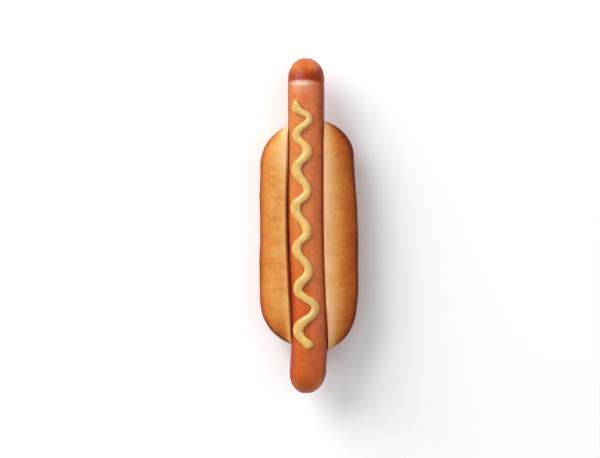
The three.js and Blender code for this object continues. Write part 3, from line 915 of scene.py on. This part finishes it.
def bead_shares(walked, left):
    """The bead's width and height as shares of the full ones, where it has run this far and has this far
    left. Both tips close as a root or a quarter circle, the start widens evenly, the end bulges as a bell
    curve, and between them two sines make the bead pulse."""
    end_share = np.clip(left / END_ROUNDING, 0, 1)
    closed = np.sqrt(np.clip(walked / START_ROUNDING, 0, 1)) * np.sqrt(1 - (1 - end_share) ** 2)
    peak = PEAK_WIDTH + PEAK_WIDENS * np.minimum(1, walked / PEAK_LENGTH)
    peak -= BLOB_SHRINKS * smoothstep(walked, PEAK_LENGTH, BLOB_END)
    pulse = 1 + sum(depth * np.sin(walked / length + phase) for depth, length, phase in PULSES)
    bulge = END_BULGE * np.exp(-(((left - END_BULGE_AT) / END_BULGE_AT) ** 2))
    height = lerp(PEAK_HEIGHT, 1, smoothstep(walked, 0, PEAK_RISE))
    return closed * peak * (pulse + bulge), closed * height * pulse


def mustard_surface(settings):
    """A flat-bottomed bead along the squiggle, wrapped over the skin: its section is an ellipse above the
    flank and a shallow dish below it. Gives the points, the faces and how thin the bead is there."""
    even = np.linspace(-1, 1, MUSTARD_ROWS + 1)
    t = MUSTARD_END / 2 * (lerp(even, crowded(MUSTARD_ROWS), ROWS_CROWDED) + 1)[:, None]
    along, across = squiggle(t)
    steps = np.hypot(np.diff(along[:, 0]), np.diff(across[:, 0]))
    walked = np.concatenate([[0], np.cumsum(steps)])[:, None]
    width, height = bead_shares(walked, walked[-1] - walked)
    ahead = np.stack(squiggle(t + HEADING_STEP), -1) - np.stack(squiggle(t - HEADING_STEP), -1)
    ahead /= np.linalg.norm(ahead, axis=-1, keepdims=True)
    around = np.linspace(0, 2 * np.pi, MUSTARD_COLUMNS, endpoint=False)[None, :]
    lift = np.sin(around)
    above, below = settings.flank + (1 - settings.flank) * lift, settings.flank * (1 - lift**2)
    rise = settings.height * height * np.where(lift > 0, above, below)
    sideways = -settings.half_width * width * bead_swell(t) * np.cos(around)
    y = along - ahead[..., 1] * sideways
    x = across + ahead[..., 0] * sideways
    radius = sausage_radius() - MUSTARD_SINK + rise
    angle = np.arcsin(x / (sausage_radius() + settings.height * settings.flank))
    rings = np.stack([axis_x(y) + radius * np.sin(angle), y, axis_z(y) + radius * np.cos(angle)], axis=-1)
    points, faces = capped_tube(rings[1:-1], rings[0].mean(axis=0), rings[-1].mean(axis=0))
    thinness = np.broadcast_to(1 - smoothstep(lift, *THIN_EDGE), rings[1:-1].shape[:2])
    return points, faces, np.append(thinness, [THIN_TIP, THIN_TIP])


def mustard_material(settings):
    """Smooth pale yellow sauce with faint darker swirls and a soft sheen, paler along the top and right as
    painted light, and orange at the thin edges where the sausage shows through, partly as painted shade.
    """
    material, tree, shader = new_material("Mustard", Roughness=0.34, Coat_Weight=0.2, Coat_Roughness=0.25,
                                          Subsurface_Weight=0.6, Subsurface_Radius=(1, 0.8, 0.5),
                                          Subsurface_Scale=1.2 * MM)
    point = object_point(tree)
    swirls = noise(tree, point, 2.5 * MM, 3, 0.5, 0.8)
    # Painted light along the top and right.
    colour = mix_colours(tree, attribute(tree, "paleness"), settings.yellow, settings.pale)
    colour = mix_colours(tree, remap(tree, swirls, 0.45, 0.75, 0, 0.6), colour, settings.deep)
    # Thin edges, partly painted shade on the low flanks.
    colour = mix_colours(tree, attribute(tree, "thinness"), colour, settings.edge)
    tree.links.new(colour, shader.inputs["Base Color"])
    grain = noise(tree, point, 0.5 * MM, 2, 0.5)
    soft = bump(tree, swirls, 0.2 * MM, 0.3)
    tree.links.new(bump(tree, grain, 0.03 * MM, 0.3, soft), shader.inputs["Normal"])
    return material


class HOTDOG_OT_add_mustard(Operator):
    """Adds the mustard: one squeezed bead that swings to and fro along the sausage"""

    bl_idname = "hotdog.add_mustard"
    bl_label = "Add mustard"

    def execute(self, context):
        settings = context.scene.hot_dog_mustard
        points, faces, thinness = mustard_surface(settings)
        piece = make_piece("mustard_squiggle", points, faces, mustard_material(settings))
        store(piece.data, "thinness", thinness)
        points, normals = vertex_values(piece.data)
        # Painted light: paler along the top and right, less so towards the front.
        on_top = smoothstep(sausage_turn(points, sausage_radius()), *PAINTED_LIGHT_TURN)
        to_front = lerp(FRONT_PAINTED_LIGHT, 1, smoothstep(points[:, 1], *FRONT_PAINTED_LIGHT_STRETCH))
        store(piece.data, "paleness", on_top * to_front)
        relief = waves_relief(points, MUSTARD_WAVES)
        move_vertices(piece.data, points + normals * relief[:, None])
        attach(piece, "root")
        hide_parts("mustard")
        return {"FINISHED"}


# ---------- stage ----------

LIGHTS = (  # name, setting of its power, side, place
    ("Key light", "key_power", 3.2, (-2.66, 2.31, 1.88)),
    ("Top light", "top_power", 2.2, (0, 0, 1.5)),
    ("Right light", "right_power", 2.5, (2.2, 0.4, 2.2)),
)
LIT_POINT = Vector((0, 0, 20 * MM))
# A slightly blue sky keeps the shadow neutral beside the warm bread.
SKY_COLOUR = (0.93, 1, 1.06, 1)
LENS, SENSOR_WIDTH = 100, 36
CAMERA_PLACE = (-5.92 * MM, -2.3 * MM)


class StageSettings(PropertyGroup):
    """The floor, the lights and the camera."""

    floor_width: FloatProperty(
        name="Floor width", description="Of the square floor",
        default=6, unit="LENGTH")
    floor_colour: FloatVectorProperty(
        name="Floor", description="Colour of the floor",
        default=(0.985, 0.985, 0.985), subtype="COLOR")
    fill: FloatProperty(
        name="Fill", description="Strength of the light from all round",
        default=0.16, min=0)
    key_power: FloatProperty(
        name="Key power", description="Of the large soft light at the back left",
        default=216, unit="POWER")
    top_power: FloatProperty(
        name="Top power", description="Of the soft light straight above",
        default=12.8, unit="POWER")
    right_power: FloatProperty(
        name="Right power", description="Of the large faint light at the right",
        default=8, unit="POWER")
    camera_height: FloatProperty(
        name="Camera height", description="Above the floor",
        default=1.106, unit="LENGTH")


def add_light(name, power, side, place):
    """A square soft light that points at the hot dog."""
    lamp = bpy.data.lights.new(name, "AREA")
    lamp.shape = "SQUARE"
    lamp.energy = power
    lamp.size = side
    light = bpy.data.objects.new(name, lamp)
    light.location = place
    light.rotation_euler = (LIT_POINT - Vector(place)).to_track_quat("-Z", "Y").to_euler()
    light.visible_camera = False
    bpy.context.collection.objects.link(light)


class HOTDOG_OT_set_stage(Operator):
    """Sets the stage: a plain pale floor, soft studio lights and a camera straight above"""

    bl_idname = "hotdog.set_stage"
    bl_label = "Set stage"

    def execute(self, context):
        scene = context.scene
        settings = scene.hot_dog_stage
        half = settings.floor_width / 2
        corners = [(-half, -half, 0), (half, -half, 0), (half, half, 0), (-half, half, 0)]
        material, _, shader = new_material("Pale floor", Roughness=0.9)
        shader.inputs["Base Color"].default_value = (*settings.floor_colour, 1)
        floor = make_piece("floor", corners, [(0, 1, 2, 3)], material)
        world = bpy.data.worlds.new("Studio")
        world.use_nodes = True
        sky = world.node_tree.nodes["Background"]
        sky.inputs["Color"].default_value = SKY_COLOUR
        sky.inputs["Strength"].default_value = settings.fill
        scene.world = world
        for name, power, side, place in LIGHTS:
            add_light(name, getattr(settings, power), side, place)
        camera = bpy.data.objects.new("Camera", bpy.data.cameras.new("Camera"))
        camera.data.lens = LENS
        camera.data.sensor_width = SENSOR_WIDTH
        camera.location = (*CAMERA_PLACE, settings.camera_height)
        bpy.context.collection.objects.link(camera)
        scene.camera = camera
        scene.view_settings.view_transform = "Standard"
        return {"FINISHED"}


# ---------- panel and registration ----------


class HOTDOG_PT_sidebar(Panel):
    """The hot dog's tools in the 3D view's sidebar"""

    bl_label = "Hot dog"
    bl_space_type = "VIEW_3D"
    bl_region_type = "UI"
    bl_category = "Hot dog"

    def draw(self, context):
        for operator, group in TOOLS:
            column = self.layout.box().column()
            settings = getattr(context.scene, group)
            for name in settings.bl_rna.properties.keys():
                if name not in ("rna_type", "name"):
                    column.prop(settings, name)
            column.operator(operator.bl_idname)


TOOLS = (
    (HOTDOG_OT_add_bun, "hot_dog_bun"),
    (HOTDOG_OT_add_sausage, "hot_dog_sausage"),
    (HOTDOG_OT_add_mustard, "hot_dog_mustard"),
    (HOTDOG_OT_set_stage, "hot_dog_stage"),
)
GROUPS = {
    "hot_dog_bun": BunSettings,
    "hot_dog_sausage": SausageSettings,
    "hot_dog_mustard": MustardSettings,
    "hot_dog_stage": StageSettings,
}
CLASSES = (*GROUPS.values(), *(operator for operator, _ in TOOLS), HOTDOG_PT_sidebar)


def register():
    """Makes the tools known to the 3D program and gives each scene its settings."""
    for cls in CLASSES:
        bpy.utils.register_class(cls)
    for name, group in GROUPS.items():
        setattr(bpy.types.Scene, name, PointerProperty(type=group))


def unregister():
    """Takes back what register did."""
    for name in GROUPS:
        delattr(bpy.types.Scene, name)
    for cls in reversed(CLASSES):
        bpy.utils.unregister_class(cls)


def main():
    """Makes the hot dog and its stage."""
    register()
    bpy.ops.hotdog.add_bun()
    bpy.ops.hotdog.add_sausage()
    bpy.ops.hotdog.add_mustard()
    bpy.ops.hotdog.set_stage()


if __name__ == "__main__":
    main()
